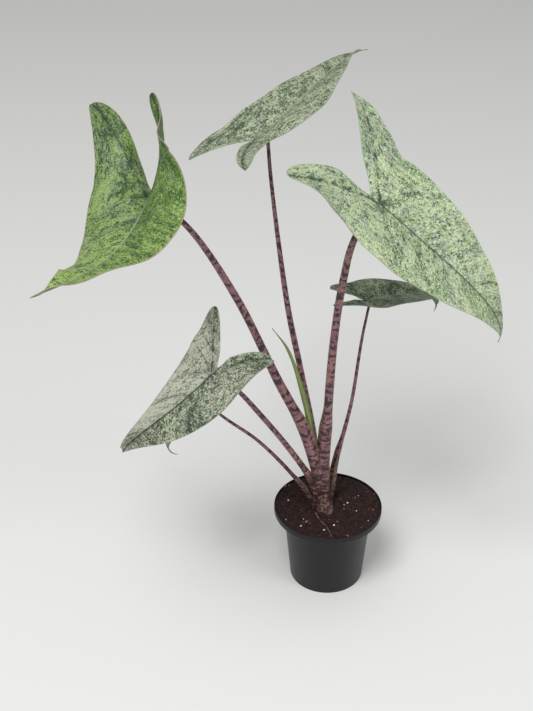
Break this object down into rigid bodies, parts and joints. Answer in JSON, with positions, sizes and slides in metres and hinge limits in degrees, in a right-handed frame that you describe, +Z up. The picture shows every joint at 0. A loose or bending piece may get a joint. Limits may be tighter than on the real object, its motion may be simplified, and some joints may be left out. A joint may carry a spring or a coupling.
{
  "type": "potted zebrina alocasia",
  "caption": "Potted aroid house plant with arrow-shaped leaves on tall barred stalks, in a round tapered nursery pot.",
  "frame": {"origin": "centre of the pot's underside", "axes": "+Z up along the pot's axis; the picture's viewer stands towards -Y, with +X to the viewer's right"},
  "size_m": [0.4027, 0.4669, 0.5736],
  "materials": {
    "pot": "satin moulded black plastic with fine dust",
    "soil": "moist fibrous potting mix",
    "rootstock": "dull ringed rootstock",
    "root": "pale dry root",
    "blade_yellow_green": "waxy satin leaf, fine dark mottling",
    "blade_grey_green": "waxy satin leaf, pale speckle",
    "blade_mint": "waxy satin leaf, dark green speckle",
    "blade_dark_green": "waxy satin leaf, pale speckle",
    "blade_cream_green": "waxy satin leaf, one half cream, the other speckled green",
    "stalk": "satin skin with dark crosswise bars",
    "new_leaf": "satin, tightly rolled",
    "old_scale": "papery, brown speckled"
  },
  "bodies": {
    "root": {"pot": "pot", "soil": "soil", "rootstock": "rootstock", "surface_root": "root", "high_left_blade": "blade_yellow_green", "high_left_stalk": "stalk", "high_middle_blade": "blade_grey_green", "high_middle_stalk": "stalk", "high_right_blade": "blade_mint", "high_right_stalk": "stalk", "low_right_blade": "blade_dark_green", "low_right_stalk": "stalk", "low_left_blade": "blade_cream_green", "low_left_stalk": "stalk", "small_blade": "blade_dark_green", "small_stalk": "stalk", "new_leaf": "new_leaf", "old_scale": "old_scale"}
  },
  "joints": []
}
